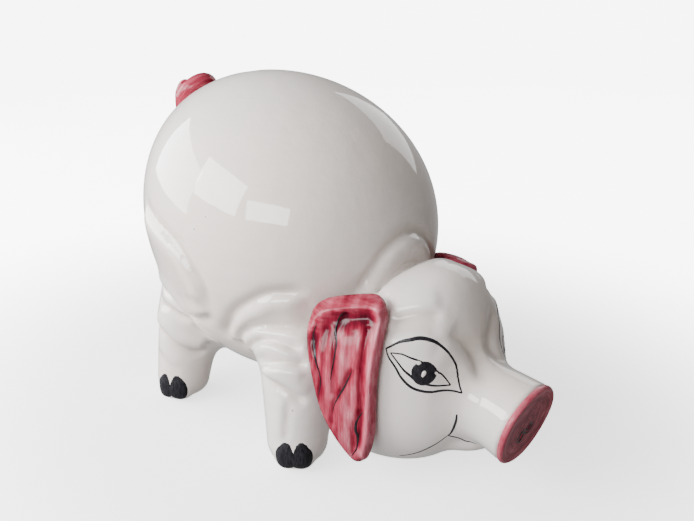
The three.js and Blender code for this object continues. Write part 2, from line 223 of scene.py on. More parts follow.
# Each fold runs on the right side of the pig: its points, a rough direction towards the side that stands
# proud, the height of the proud lip, how far the lip spreads, the depth of the groove and its half width.
FOLDS = {
    "haunch front": ([(-122, -94, 184), (-107, -107, 174), (-75, -116, 167), (-53, -119, 158),
                      (-38, -118, 141), (-31, -115, 126), (-29, -110, 110)], (-1, 0, -0.3), 5.2, 22, 2.8, 5),
    "haunch foot": ([(-124, -90, 114), (-113, -97, 107), (-93, -103, 103), (-80, -102, 95), (-65, -102, 93),
                     (-41, -108, 101), (-29, -110, 111)], (0, 0, 1), 4.8, 14, 2.4, 5),
    "thigh": ([(-124, -90, 98), (-111, -100, 92), (-99, -102, 91), (-88, -101, 88), (-74, -98, 85),
               (-71, -93, 76), (-60, -89, 71), (-50, -82, 66)], (0, 0, 1), 3.6, 9, 2.2, 4.5),
    "hind knee": ([(-128, -92, 74), (-120, -100, 68), (-106, -103, 63), (-96, -100, 56), (-87, -94, 51),
                   (-83, -86, 49), (-80, -78, 49)], (0, 0, 1), 5.0, 14, 2.6, 5),
    "hind ankle": ([(-122, -98, 45), (-110, -105, 41), (-102, -104, 36), (-92, -100, 32)],
                   (0, 0, 1), 1.6, 9, 1.0, 4.5),
    "shoulder top": ([(50, -78, 137), (38, -86, 138), (22, -98, 135), (7, -104, 126), (-6, -106, 115),
                      (-15, -105, 103), (-24, -101, 91), (-27, -95, 82)], (0.3, 0, -1), 6.2, 16, 2.8, 6),
    "shoulder foot": ([(58, -78, 112), (46, -80, 111), (30, -92, 110), (9, -99, 106), (1, -100, 101),
                       (-9, -98, 92), (-17, -86, 72)], (0.5, 0, -1), 5.4, 13, 2.8, 5),
    "forearm": ([(-4, -93, 81), (15, -99, 96), (29, -98, 100), (40, -96, 99), (53, -90, 95)],
                (0, 0, -1), 5.2, 9, 3.2, 4.5),
    "elbow": ([(14, -99, 80), (29, -105, 84), (40, -104, 88), (51, -98, 88), (60, -92, 86)],
              (0, 0, -1), 5.0, 9, 3.2, 4.5),
    "fore knee": ([(14, -104, 78), (29, -107, 71), (43, -106, 69), (53, -102, 64), (62, -95, 59)],
                  (0, 0, 1), 5.4, 11, 3.2, 5),
    "shin": ([(49, -106, 62), (50, -108, 50), (50, -110, 38), (50, -110, 26)], (-1, 0, 0), 2.2, 8, 1.2, 4),
    "nape": ([(75, 20, 167), (76, 0, 172), (75, -20, 166), (73, -31, 156), (71, -38, 147), (68, -43, 140),
              (62, -52, 130)], (1, 0, -0.4), 7.0, 15, 3.0, 6),
    "neck": ([(79, 15, 143), (80, 0, 147), (79, -15, 143), (77, -26, 137), (74, -38, 128)],
             (1, 0, -0.4), 4.2, 14, 3.0, 5),
    "brow": ([(138, -30, 120), (141, -25, 115), (144, -19, 109), (147, -13, 101), (150, -11, 93),
              (156, -15, 85), (160, -22, 78)], (0, -1, 0), 3.4, 18, 2.4, 9),
    "forehead": ([(102, -56, 124), (110, -50, 128), (119, -44, 131), (127, -37, 131), (134, -28, 130)],
                 (0, 0, 1), 3.2, 13, 2.4, 6),
    "temple": ([(98, -64, 112), (107, -58, 118), (118, -50, 121), (128, -41, 120), (136, -33, 116)],
               (0, 0, -1), 1.6, 10, 1.2, 5),
}
# Low swellings: their middles on the right side, their heights and their spreads.
SWELLINGS = {"eyelid": ((133, -47, 94), 2.0, 17), "jowl": ((118, -60, 48), 1.5, 26)}
FOLD_PATHS = {}
for fold, (knots, *_) in FOLDS.items():
    on_skin = settle(smooth_path(knots, 4), pig_field, 6)
    FOLD_PATHS[fold] = on_skin, unit(slope_of(pig_field, on_skin))
SLOT_MIDDLE_X = np.mean(frame["record"]["physics"]["openings"][0]["box_m"], axis=0)[0] / MM
SLOT_HALF_LENGTH = 20.0
SLOT_HALF_WIDTH = 3.0


def across_fold(points, path, normals, proud):
    """For each point, its distance along the skin to a path, positive on the proud side, and an envelope
    that is 1 along the path and dies away at its ends and far above or below the skin."""
    nearest = np.full(len(points), 1e9)
    side, share, above = np.zeros((3, len(points)))
    for i in range(len(path) - 1):
        line = path[i + 1] - path[i]
        t = np.clip((points - path[i]) @ line / (line @ line), 0, 1)
        gap = points - path[i] - t[:, None] * line
        height = gap @ normals[i]
        gap = gap - height[:, None] * normals[i]
        distance = np.linalg.norm(gap, axis=1) + 0.02 * np.abs(height)
        across = unit(np.cross(line, normals[i]))
        across = across * np.sign(across @ vec(*proud))
        closer = distance < nearest
        nearest = np.where(closer, distance, nearest)
        side = np.where(closer, gap @ across, side)
        share = np.where(closer, (i + t) / (len(path) - 1), share)
        above = np.where(closer, np.abs(height), above)
    envelope = np.clip(np.minimum(share, 1 - share) / 0.2, 0, 1)
    envelope = envelope * envelope * (3 - 2 * envelope) * np.clip(2.5 - above / 12, 0, 1)
    return nearest * np.tanh(side / 1.5), envelope


def fold_height(points):
    """Height that the folds add to the skin.  With s the distance across a fold, positive on the proud
    side, it is lip (1 - e^(-s / half width)) e^(-(s / spread)^2) on that side, less
    groove e^(-(s / half width)^2) on both, times an envelope that dies away at the fold's ends.  A
    swelling adds height e^(-(d / spread)^2), and the rim of the coin slot falls by 1.5 e^(-(d / 2.5)^2)."""
    folded = right_side(points)
    height = np.zeros(len(points))
    for name, (knots, proud, lip, spread, groove, half_width) in FOLDS.items():
        path, normals = FOLD_PATHS[name]
        reach = 2.3 * spread
        near = np.all((folded > path.min(0) - reach) & (folded < path.max(0) + reach), axis=1)
        if near.any():
            s, envelope = across_fold(folded[near], path, normals, proud)
            raised = lip * (1 - np.exp(-np.maximum(s, 0) / half_width)) * np.exp(-np.square(s / spread))
            height[near] += envelope * (raised - groove * np.exp(-np.square(s / half_width)))
    for middle, rise, spread in SWELLINGS.values():
        height += rise * np.exp(-np.square((folded - vec(*middle)) / spread).sum(1))
    past_end = np.maximum(np.abs(points[:, 0] - SLOT_MIDDLE_X) - (SLOT_HALF_LENGTH - SLOT_HALF_WIDTH), 0)
    from_slot = np.maximum(np.hypot(past_end, points[:, 1]) - SLOT_HALF_WIDTH, 0)
    height -= np.where(points[:, 2] > 200, 1.5 * np.exp(-np.square(from_slot / 2.5)), 0)
    return height


def skin_field(points):
    """The pig's clay with its folds: the plain field less the height of the folds."""
    return pig_field(points) - fold_height(points)


# ------------------------------------------------------------------ meshes

def new_object(name, vertices, faces, uv=None, paint=None):
    """A smooth mesh object at the origin from millimetre vertices and faces, with its faces turned
    outwards.  It may carry a UV and a few named numbers for each vertex."""
    mesh = bpy.data.meshes.new(name)
    mesh.from_pydata((np.asarray(vertices) * MM).tolist(), [], faces)
    mesh.polygons.foreach_set("use_smooth", np.ones(len(mesh.polygons), bool))
    if enclosed_volume(mesh) < 0:
        mesh.flip_normals()
    if uv is not None:
        corners = np.zeros(len(mesh.loops), int)
        mesh.loops.foreach_get("vertex_index", corners)
        mesh.uv_layers.new(name="UVMap").data.foreach_set("uv", np.asarray(uv, float)[corners].ravel())
    for key, values in (paint or {}).items():
        mesh.attributes.new(key, "FLOAT", "POINT").data.foreach_set("value", np.asarray(values, float))
    mesh.update()
    thing = bpy.data.objects.new(name, mesh)
    bpy.context.collection.objects.link(thing)
    return thing


def vertices_of(mesh):
    """A mesh's vertices in millimetres."""
    points = np.zeros(len(mesh.vertices) * 3)
    mesh.vertices.foreach_get("co", points)
    return points.reshape(-1, 3) / MM


def enclosed_volume(mesh):
    """Volume inside a closed mesh: a sixth of the sum of a . (b x c) over its triangles."""
    mesh.calc_loop_triangles()
    corners = np.zeros(len(mesh.loop_triangles) * 3, int)
    mesh.loop_triangles.foreach_get("vertices", corners)
    a, b, c = np.moveaxis(vertices_of(mesh)[corners.reshape(-1, 3)], 1, 0)
    return (a * np.cross(b, c)).sum() / 6


def grid_faces(rows, columns, wrap_columns=False):
    """Quads between neighbouring rows and columns of a grid stored row by row."""
    r = np.arange(rows - 1)
    c = np.arange(columns if wrap_columns else columns - 1)
    r, c = (g.ravel() for g in np.meshgrid(r, c, indexing="ij"))
    r2, c2 = (r + 1) % rows, (c + 1) % columns
    return np.stack([r * columns + c, r * columns + c2, r2 * columns + c2, r2 * columns + c], -1)


def shut_grid(grid):
    """Vertices and faces of a grid of rings whose first and last rings are each shut by one point."""
    rows, columns = grid.shape[:2]
    ends = np.stack([grid[0].mean(0), grid[-1].mean(0)])
    vertices = np.vstack([grid.reshape(-1, 3), ends])
    faces = grid_faces(rows, columns, wrap_columns=True).tolist()
    first, last = rows * columns, rows * columns + 1
    for c in range(columns):
        n = (c + 1) % columns
        faces.append([first, n, c])
        faces.append([last, (rows - 1) * columns + c, (rows - 1) * columns + n])
    return vertices, faces


def ball_grid(centre, radii, tilt=0.0, taper=0.0, rows=24, columns=40):
    """Rings of an egg: radii times (cos a, w sin a cos b, w sin a sin b) with w = 1 + taper cos a, turned
    nose down."""
    a = np.linspace(0.04, np.pi - 0.04, rows)[:, None]
    b = np.linspace(0, 2 * np.pi, columns, endpoint=False)[None, :]
    swell = 1 + taper * np.cos(a)
    width = swell * np.sin(a)
    q = np.stack([np.cos(a) + 0 * b, width * np.cos(b), width * np.sin(b)], -1) * radii
    turn = np.radians(tilt)
    x = q[..., 0] * np.cos(turn) + q[..., 2] * np.sin(turn)
    z = -q[..., 0] * np.sin(turn) + q[..., 2] * np.cos(turn)
    return np.stack([x, q[..., 1], z], -1) + centre


def evaluated_arrays(thing):
    """Vertices in millimetres and polygon corner lists of an object with its modifiers applied."""
    shaped = thing.evaluated_get(bpy.context.evaluated_depsgraph_get())
    mesh = shaped.to_mesh()
    points = vertices_of(mesh)
    faces = [list(polygon.vertices) for polygon in mesh.polygons]
    shaped.to_mesh_clear()
    return points, faces


def remeshed(vertices, faces, voxel):
    """The outer skin of overlapping closed meshes, as even quads of one voxel's size."""
    rough = new_object("rough", vertices, faces)
    remesh = rough.modifiers.new("voxels", "REMESH")
    remesh.mode = "VOXEL"
    remesh.voxel_size = voxel * MM
    points, quads = evaluated_arrays(rough)
    bpy.data.objects.remove(rough)
    return points, quads


def pig_seed():
    """Overlapping balls and columns that roughly fill the pig, as one list of vertices and faces."""
    grids = [ball_grid(TORSO_MIDDLE, TORSO_RADII, TORSO_TILT),
             ball_grid(SKULL_MIDDLE, SKULL_RADII, SKULL_TILT),
             ball_grid(CHIN_MIDDLE, CHIN_RADII)]
    b = np.linspace(0, 2 * np.pi, 32, endpoint=False)[None, :, None]
    rises = np.linspace(0, 1, 8)[:, None, None]
    for flip in (vec(1, 1, 1), vec(1, -1, 1)):
        grids.append(ball_grid(CHEEK_MIDDLE * flip, CHEEK_RADII))
        for foot in (HIND_FOOT, FORE_FOOT):
            ring = np.concatenate([np.cos(b), np.sin(b), 0 * b], -1)
            radius = foot["sole_radius"] + (foot["hip_radius"] - foot["sole_radius"]) * rises
            grids.append((foot["sole"] + (foot["hip"] + vec(0, 0, 20)) * rises + ring * radius) * flip)
    along = SNOUT_END - SNOUT_AXIS * (80 - 75 * rises)
    grids.append(along + (np.cos(b) * vec(0, 1, 0) + np.sin(b) * SNOUT_RISE) * 30)
    vertices, faces, count = [], [], 0
    for grid in grids:
        points, quads = shut_grid(grid)
        vertices.append(points)
        faces += [[corner + count for corner in quad] for quad in quads]
        count += len(points)
    return np.vstack(vertices), faces


def pig_skin():
    """The clay's outer surface: the seed is skinned with voxels and settled on the plain field, then
    skinned again more finely, settled, and raised by the folds along the field's slope."""
    coarse, fine = ((4.0, 2.1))
    points, faces = remeshed(*pig_seed(), coarse)
    points, faces = remeshed(settle(points, pig_field, 4), faces, fine)
    points = settle(points, pig_field, 5)
    points = points + unit(slope_of(pig_field, points)) * fold_height(points)[:, None]
    points[:, 2] = np.maximum(points[:, 2], 0)
    return points, faces


def turned(centre, axis, side, profile, columns=48):
    """Rings about an axis: each pair of the profile is a radius and a distance along the axis."""
    b = np.linspace(0, 2 * np.pi, columns, endpoint=False)[None, :, None]
    radius, along = (np.array(part, float)[:, None, None] for part in zip(*profile))
    return centre + along * axis + radius * (np.cos(b) * side + np.sin(b) * np.cross(axis, side))


def slot_cutter():
    """A flat block with round ends that stands in the coin slot: its outline runs round two half
    circles."""
    half = np.linspace(-np.pi / 2, np.pi / 2, 13)
    x = np.concatenate([np.cos(half), np.cos(half + np.pi)]) * SLOT_HALF_WIDTH
    x += np.repeat([1, -1], 13) * (SLOT_HALF_LENGTH - SLOT_HALF_WIDTH)
    y = np.concatenate([np.sin(half), np.sin(half + np.pi)]) * SLOT_HALF_WIDTH
    outline = np.stack([x + SLOT_MIDDLE_X, y, 0 * x], -1)
    return outline + np.linspace(225, 320, 6)[:, None, None] * vec(0, 0, 1)


def belly_cutter():
    """The stopper's hole and the flat land round it, as one turned block."""
    profile = [(22, -10), (22, LAND_HEIGHT), (HOLE_RADIUS, LAND_HEIGHT), (HOLE_RADIUS, 70)]
    return turned(vec(STOPPER_MIDDLE[0], 0, 0), vec(0, 0, 1), vec(1, 0, 0), profile)


def hollowed(skin):
    """The skin with the money chamber, the coin slot and the stopper's hole cut out of it."""
    chamber = ball_grid(TORSO_MIDDLE, TORSO_RADII - WALL, TORSO_TILT, TORSO_TAPER, 40, 64)
    for name, grid in (("chamber", chamber), ("slot", slot_cutter()), ("belly hole", belly_cutter())):
        cutter = new_object(name, *shut_grid(grid))
        cut = skin.modifiers.new(name, "BOOLEAN")
        cut.operation = "DIFFERENCE"
        cut.solver = "MANIFOLD"
        cut.object = cutter
    points, faces = evaluated_arrays(skin)
    for cut in list(skin.modifiers):
        bpy.data.objects.remove(cut.object)
    bpy.data.objects.remove(skin)
    return new_object("glazed_body", points, faces)


def evened(vectors, corners, following, rounds=2):
    """Unit vectors on a mesh's points, each averaged a few times with those at its neighbours."""
    ends, others = corners, corners[following]
    count = np.bincount(ends, minlength=len(vectors)) + np.bincount(others, minlength=len(vectors))
    for _ in range(rounds):
        total = np.stack([np.bincount(ends, part[others], len(part))
                          + np.bincount(others, part[ends], len(part)) for part in vectors.T], -1)
        vectors = unit(vectors + total / np.maximum(count, 1)[:, None])
    return vectors


def smooth_shading(skin):
    """Sets the normals of the outer skin to the slope of its folded field, and leaves the cut walls with
    the normals of their own faces."""
    mesh = skin.data
    points = vertices_of(mesh)
    middles = np.zeros(len(mesh.polygons) * 3)
    mesh.polygons.foreach_get("center", middles)
    outside = np.abs(skin_field(middles.reshape(-1, 3) / MM)) < 0.8
    flat = np.zeros(len(mesh.polygons) * 3)
    mesh.polygons.foreach_get("normal", flat)
    sizes = np.zeros(len(mesh.polygons), int)
    mesh.polygons.foreach_get("loop_total", sizes)
    corners = np.zeros(len(mesh.loops), int)
    mesh.loops.foreach_get("vertex_index", corners)
    owner = np.repeat(np.arange(len(sizes)), sizes)
    lasts = np.cumsum(sizes) - 1
    following = np.arange(len(corners)) + 1
    following[lasts] = lasts - sizes + 1
    slopes = evened(unit(slope_of(skin_field, points)), corners, following)
    level = points[:, 2] < 0.05
    slopes[level] = vec(0, 0, -1)
    normals = np.where(outside[owner][:, None], slopes[corners], flat.reshape(-1, 3)[owner])
    mesh.normals_split_custom_set(normals.tolist())


def build_body():
    skin = new_object("glazed_body", *pig_skin())
    skin = hollowed(skin)
    smooth_shading(skin)
    # crease: depth of the fold grooves; it darkens the glaze there, partly as pooled glaze and partly as
    # painted crease shade
    crease = np.clip(-fold_height(vertices_of(skin.data)) / 2.4, 0, 1)
    skin.data.attributes.new("crease", "FLOAT", "POINT").data.foreach_set("value", crease)
    return skin


# ------------------------------------------------------------------ brush work on the skin

def lay_on_skin(points):
    """Points dropped on to the folded skin, with the directions square to it."""
    shape = points.shape
    points = settle(points.reshape(-1, 3), skin_field, 3)
    return points.reshape(shape), unit(slope_of(skin_field, points)).reshape(shape)


def brush_line(knots, width, lay=lay_on_skin, swell=0.0, peak=0.5, taper=0.3, lift=0.22):
    """A thin lens of paint along a curve laid on a surface.  Its half width at a share t of the way is
    width / 2 (taper + (1 - taper) sin(pi t)^0.5) (1 + swell e^(-((t - peak) / 0.2)^2)), and each ring
    across it is laid on the surface before its top is raised and its underside is sunk."""
    path, normal = lay(smooth_path(knots, 8))
    along = unit(np.gradient(path, axis=0))
    across = unit(np.cross(normal, along))
    run = np.append(0, np.cumsum(np.linalg.norm(np.diff(path, axis=0), axis=1)))
    t = run / run[-1]
    half = width / 2 * (taper + (1 - taper) * np.sqrt(np.abs(np.sin(np.pi * t))))
    half = half * (1 + swell * np.exp(-np.square((t - peak) / 0.2)))
    sideways = vec(-1, -0.55, 0, 0.55, 1, 0)
    height = vec(-0.1, 0.8, 1, 0.8, -0.1, -1.4) * lift
    ring, normals = lay(path[:, None] + across[:, None] * half[:, None, None] * sideways[:, None])
    return shut_grid(ring + normals * height[:, None])


def paint_spot(middle, first, second, outline, lay=lay_on_skin, lift=0.25, rings=7):
    """A thin lens of paint round a middle: at a share r of the way out and an angle a it lies at
    r (first cos a + second sin a) times the outline's reach there, and its top is lift (1 - r^4) high."""
    a = np.linspace(0, 2 * np.pi, 40, endpoint=False)
    r = np.concatenate([np.linspace(0.08, 1, rings), np.linspace(0.9, 0.1, 3)])[:, None, None]
    reach = outline(a)[:, None]
    spots = middle + r * reach * (np.cos(a)[:, None] * first + np.sin(a)[:, None] * second)
    spots, normals = lay(spots)
    top = (np.arange(len(r)) < rings)[:, None, None]
    height = np.where(top, lift * (1 - r**4) - 0.05, -0.5)
    layer = spots + normals * height
    layer[..., 2] = np.maximum(layer[..., 2], 0.15)
    return shut_grid(layer)


def whole(sheets):
    """Several meshes as one list of vertices and faces."""
    vertices, faces, count = [], [], 0
    for points, quads in sheets:
        vertices.append(points)
        faces += [[corner + count for corner in quad] for quad in quads]
        count += len(points)
    return np.vstack(vertices), faces


def mirrored(sheet):
    """The same mesh on the pig's other side, with its faces turned back outwards."""
    points, faces = sheet
    return points * vec(1, -1, 1), [face[::-1] for face in faces]


def both_sides(sheets):
    """Meshes of the right side, together with their mirror images."""
    sheets = list(sheets)
    return whole(sheets + [mirrored(sheet) for sheet in sheets])


UPPER_LID = [(108, -62, 107), (116, -57, 113), (122, -52, 115), (127, -47, 116), (134, -41, 114),
             (138, -35, 108), (143, -30, 99), (145, -28, 92), (148, -29, 85), (151, -30, 79), (153, -30, 75)]
LOWER_LID = [(108, -62, 107), (111, -63, 102), (117, -62, 95), (122, -61, 88), (128, -58, 82),
             (134, -53, 79), (139, -48, 78), (143, -41, 78), (148, -35, 77), (153, -30, 75)]
UPPER_EYE = [(112, -62, 105), (119, -58, 105), (124, -55, 103), (130, -50, 100), (136, -45, 95),
             (141, -39, 89), (146, -35, 81)]
LOWER_EYE = [(112, -62, 105), (117, -61, 100), (122, -59, 94), (127, -57, 90), (130, -54, 87),
             (135, -50, 84), (140, -44, 82), (146, -35, 81)]
IRIS = vec(133, -50, 92)
MOUTH = [(153, -35, 60), (152, -35, 53), (149, -36, 43), (147, -37, 41)]
JAW = [(147, -37, 41), (143, -40, 36), (136, -45, 29), (122, -49, 19), (113, -50, 14)]
LIP = [(147, -37, 41), (151, -30, 37), (153, -22, 33), (156, -14, 30)]


def face_lines():
    """Black brush lines of the eyes and the mouth."""
    yield brush_line(UPPER_LID, 1.8, swell=0.8, peak=0.3, taper=0.6)
    yield brush_line(LOWER_LID, 1.75, swell=0.2, taper=0.6)
    yield brush_line(UPPER_EYE, 1.45, swell=0.2, taper=0.6)
    yield brush_line(LOWER_EYE, 1.45, swell=0.5, taper=0.6)
    yield brush_line(MOUTH, 1.9, taper=0.5)
    yield brush_line(JAW, 1.5, taper=0.3)
    yield brush_line(LIP, 1.5, taper=0.3)


def iris_axes():
    """Directions across and up the eye, square to the skin at the iris."""
    _, normal = lay_on_skin(IRIS[None])
    rise = unit(vec(0, 0, 1) - normal[0] * normal[0][2])
    return unit(np.cross(rise, normal[0])), rise


def round_edge(wobble=0.0, phase=0.0):
    """The outline of a hand-painted round: 1 + wobble sin(3 a + phase)."""
    return lambda a: 1 + wobble * np.sin(3 * a + phase)


def iris_spots():
    """The black iris."""
    across, rise = iris_axes()
    yield paint_spot(IRIS, across * 9.6, rise * 9.2, round_edge(0.03, 1))


def eye_glints():
    """The white glint in the middle of each iris and the nick in its upper edge."""
    across, rise = iris_axes()
    lean = unit(across * 0.45 + rise)
    side = unit(across - rise * 0.45)
    glint = IRIS - across * 0.2 - rise * 0.4
    nick = IRIS - across * 3.6 + rise * 7.6
    yield paint_spot(glint, side * 1.7, lean * 3.1, round_edge(0.04), lift=0.5, rings=4)
    yield paint_spot(nick, side * 1.9, lean * 1.7, round_edge(0.1), lift=0.5, rings=4)


def hoof_spots():
    """The black hooves: on each toe a petal whose outline reaches 1 sideways and below, and rises to a
    point above as 1 + 0.3 cos(a - up)^7, where the point leans towards the other toe."""
    for foot in (FORE_FOOT, HIND_FOOT):
        for turn, lean in zip(foot["toes"], (-0.22, 0.22)):
            outward = vec(np.cos(np.radians(turn)), np.sin(np.radians(turn)), 0)
            middle = foot["sole"] + outward * (foot["sole_radius"] + 3) + vec(0, 0, 12)
            sideways = np.cross(vec(0, 0, 1), outward)

            def petal(a, up=np.pi / 2 + lean):
                return 1 + 0.3 * np.maximum(np.cos(a - up), 0)**7

            yield paint_spot(middle, sideways * 10.4, vec(0, 0, 12.5), petal, lift=0.35, rings=12)


# ------------------------------------------------------------------ ears

EAR_ROOT = SKULL_MIDDLE + vec(8, -63, 68)
EAR_SPLAY, EAR_LEAN = np.radians(31), np.radians(7)
EAR_BACK = vec(-np.cos(EAR_SPLAY), -np.sin(EAR_SPLAY), 0)
EAR_OUT = vec(np.sin(EAR_SPLAY) * np.cos(EAR_LEAN), -np.cos(EAR_SPLAY) * np.cos(EAR_LEAN), np.sin(EAR_LEAN))
EAR_DOWN = np.cross(EAR_OUT, EAR_BACK)
LEFT_EAR_SHIFT = vec(-6, -2, -2.5)
EAR_TOP_EDGE = [(50, 12), (46.5, 4), (38, -2), (23, -6), (5, -8.5), (-3, -6.5)]
EAR_FRONT_EDGE = [(-7.5, 0), (-8.5, 8), (-6.5, 26), (-4.5, 47), (-4, 70), (-3.5, 92), (0, 109)]
EAR_BACK_EDGE = [(4, 117), (10, 121), (16, 118), (28, 101), (38.5, 80), (44.5, 60), (50, 38), (52, 24)]
EAR_OUTLINE = EAR_TOP_EDGE + EAR_FRONT_EDGE + EAR_BACK_EDGE
EAR_GROOVES = [([(5, 15), (7, 45), (6, 75), (9, 104)], 2.2, 2.6),
               ([(22, 6), (28, 22), (28, 41), (27, 62)], 1.7, 2.4),
               ([(43, 14), (45, 26), (41, 43), (38, 58), (40, 70)], 1.5, 2.2),
               ([(14, 44), (20, 57), (27, 72), (28, 86)], 1.6, 2.4),
               ([(8, 74), (12, 90), (13, 110)], 1.3, 2.0),
               ([(15, 18), (17, 40), (15, 70)], 0.9, 3.0), ([(35, 18), (35, 50), (33, 80)], 0.9, 3.0)]
EAR_VEINS = [([(43, 14), (45.5, 23), (44, 33), (41.5, 43), (38.5, 51), (38, 59), (39.5, 67)], 1.2),
             ([(22, 3), (26.5, 8.5), (28.5, 18), (27, 26.5), (28.5, 41), (30, 53)], 1.3),
             ([(14, 44), (19.5, 57), (26, 70), (28, 78)], 1.1),
             ([(5, 74), (9.5, 82), (10.5, 90), (9, 95), (10, 106), (14, 113.5)], 1.4)]


def from_line(points, knots):
    """Distance of points on the ear's plan from a smooth line."""
    path = smooth_path(knots, 5)
    line = np.diff(path, axis=0)
    gap = points[:, None] - path[:-1]
    t = np.clip((gap * line).sum(-1) / (line * line).sum(-1), 0, 1)
    return np.linalg.norm(gap - t[..., None] * line, axis=-1).min(1)


def ear_relief(plan):
    """Height of the ear's outer face above its middle sheet.  The edge rounds down over 6 mm, a roll
    stands along the top and the front edge as h e^(-((d - m) / w)^2) of the distance d from the edge, a
    pocket sinks below the top roll, and grooves run down to the tip."""
    top = from_line(plan, EAR_TOP_EDGE)
    front = from_line(plan, EAR_FRONT_EDGE)
    edge = from_line(plan, EAR_OUTLINE + EAR_OUTLINE[:1])
    height = 6 * np.sqrt(1 - np.square(1 - np.clip(edge / 6, 0, 1)))
    height += 3.8 * np.exp(-np.square((top - 6.5) / 5)) * np.clip(1.1 - plan[:, 0] / 50, 0, 0.4) / 0.4
    height += 2.8 * np.exp(-np.square((front - 5) / 3.4))
    pocket = np.exp(-np.square((top - 16) / 6.5)) * np.clip(front / 8 - 0.6, 0, 1)
    pocket = pocket * np.clip(1.25 - plan[:, 0] / 60, 0, 1)
    height -= 2.3 * pocket
    grooves = np.zeros(len(plan))
    for knots, depth, width in EAR_GROOVES:
        grooves += depth * np.exp(-np.square(from_line(plan, knots) / width))
    height -= grooves * np.clip(edge / 5, 0, 1)
    return height, dict(top=top, front=front, edge=edge, pocket=pocket, grooves=grooves)


def ear_bow(plan):
    """How far the ear's middle sheet bows out from its flat plan: 8 at the middle of its front edge, less
    15 times the square of the way to the top, or 11 times to the tip, and less 9 times the square of the
    way back."""
    from_middle = (plan[:, 1] - 58) / 58
    steep = np.where(from_middle < 0, 15, 11)
    return 8 - steep * np.square(from_middle) - 9 * np.square(plan[:, 0] / 48)


def ear_face(plan):
    """Points of the ear's outer face over its plan, as millimetres back and down from the root."""
    height = ear_relief(plan)[0] + ear_bow(plan)
    return EAR_ROOT + plan[:, :1] * EAR_BACK + plan[:, 1:] * EAR_DOWN + height[:, None] * EAR_OUT


def lay_on_ear(points):
    """Points dropped on to the ear's outer face, with its outward direction."""
    shape = points.shape
    gap = points.reshape(-1, 3) - EAR_ROOT
    plan = np.stack([gap @ EAR_BACK, gap @ EAR_DOWN], -1)
    return ear_face(plan).reshape(shape), np.broadcast_to(EAR_OUT, shape)


def ear_leaf():
    """The right ear: rings shrink from its outline to its middle on the outer face, and again on the back,
    which lies 4 (1 - (1 - e / 6)^2)^0.5 below the middle sheet at a distance e from the edge."""
    outline = smooth_path(EAR_OUTLINE, 8, closed=True)
    middle = vec(21, 48)
    shares = 1 - np.linspace(0, 1, 44, endpoint=False)[::-1]**1.3
    front = middle + shares[:, None, None] * (outline - middle)
    back = middle + np.linspace(0.98, 0.05, 14)[:, None, None] * (outline - middle)
    plan = np.concatenate([front[np.argsort(shares)], back]).reshape(-1, 2)
    relief, parts = ear_relief(plan)
    under = -4 * np.sqrt(1 - np.square(1 - np.clip(parts["edge"] / 6, 0, 1)))
    is_front = np.repeat([True, False], [front.size // 2, back.size // 2])
    height = np.where(is_front, relief, under) + ear_bow(plan)
    points = EAR_ROOT + plan[:, :1] * EAR_BACK + plan[:, 1:] * EAR_DOWN + height[:, None] * EAR_OUT
    vertices, faces = shut_grid(points.reshape(len(front) + len(back), len(outline), 3))
    plan = np.vstack([plan, middle, middle])
    relief, parts = ear_relief(plan)
    # Painted shadow: the shade drops by 0.42 in the pocket under the top roll, where the roll's shadow
    # falls.
    shade = 0.5 + 0.2 * np.exp(-np.square((parts["front"] - 5) / 4)) - 0.42 * parts["pocket"]
    # Darker in the grooves, by pooled paint and by painted groove shade; darker too along the back edge.
    shade -= 0.12 * parts["grooves"] + 0.22 * np.exp(-np.square(from_line(plan, EAR_BACK_EDGE) / 4))
    shade += 0.12 * np.exp(-np.square((parts["front"] - 22) / 10)) * np.clip((plan[:, 1] - 10) / 20, 0, 1)
    shade -= 0.12 * np.exp(-np.square((parts["top"] - 2) / 3))
    band = np.exp(-np.square(np.maximum(parts["top"] - 9, 0) / 3))
    return vertices, faces, plan / vec(58, 125), dict(shade=shade, band=band)


def build_ears():
    """Both ears and their black veins."""
    vertices, faces, uv, paint = ear_leaf()
    right = new_object("right_ear", vertices, faces, uv, paint)
    left_vertices, left_faces = mirrored((vertices, faces))
    left = new_object("left_ear", left_vertices + LEFT_EAR_SHIFT, left_faces, uv, paint)
    plan_axes = np.stack([EAR_BACK, EAR_DOWN])
    lines = [brush_line(EAR_ROOT + np.array(knots) @ plan_axes, 1.05 * width, lay_on_ear, swell=0.6,
                        peak=0.35, taper=0.2) for knots, width in EAR_VEINS]
    left_lines = [(points + LEFT_EAR_SHIFT, quads) for points, quads in map(mirrored, lines)]
    veins = new_object("ear_veins", *whole(lines + left_lines))
    for ear, node in ((right, "ear_right"), (left, "ear_left")):
        finished(ear, ROSE, "rose_glaze", node)
    finished(veins, BLACK, "black_paint")


# ------------------------------------------------------------------ snout disc and tail

NOSTRILS = [(-3.2, -9), (5, -4.2)]


def disc_height(across, rise):
    """Height of the snout disc's face: a dish 1.2 (r^4 - 1) deep with two shallow nostril dimples."""
    radius = np.hypot(across, rise) / DISC_RADIUS
    height = 1.2 * (radius**4 - 1)
    for y, z in NOSTRILS:
        height = height - 1.0 * np.exp(-(np.square(across - y) + np.square(rise - z)) / 3.4**2)
    return height


def lay_on_disc(points):
    """Points dropped on to the snout disc's face, with its outward direction."""
    gap = points - SNOUT_END
    across, rise = gap[..., 1], gap @ SNOUT_RISE
    lifted = SNOUT_END + across[..., None] * vec(0, 1, 0) + rise[..., None] * SNOUT_RISE
    lifted = lifted + disc_height(across, rise)[..., None] * SNOUT_AXIS
    return lifted, np.broadcast_to(SNOUT_AXIS, points.shape)


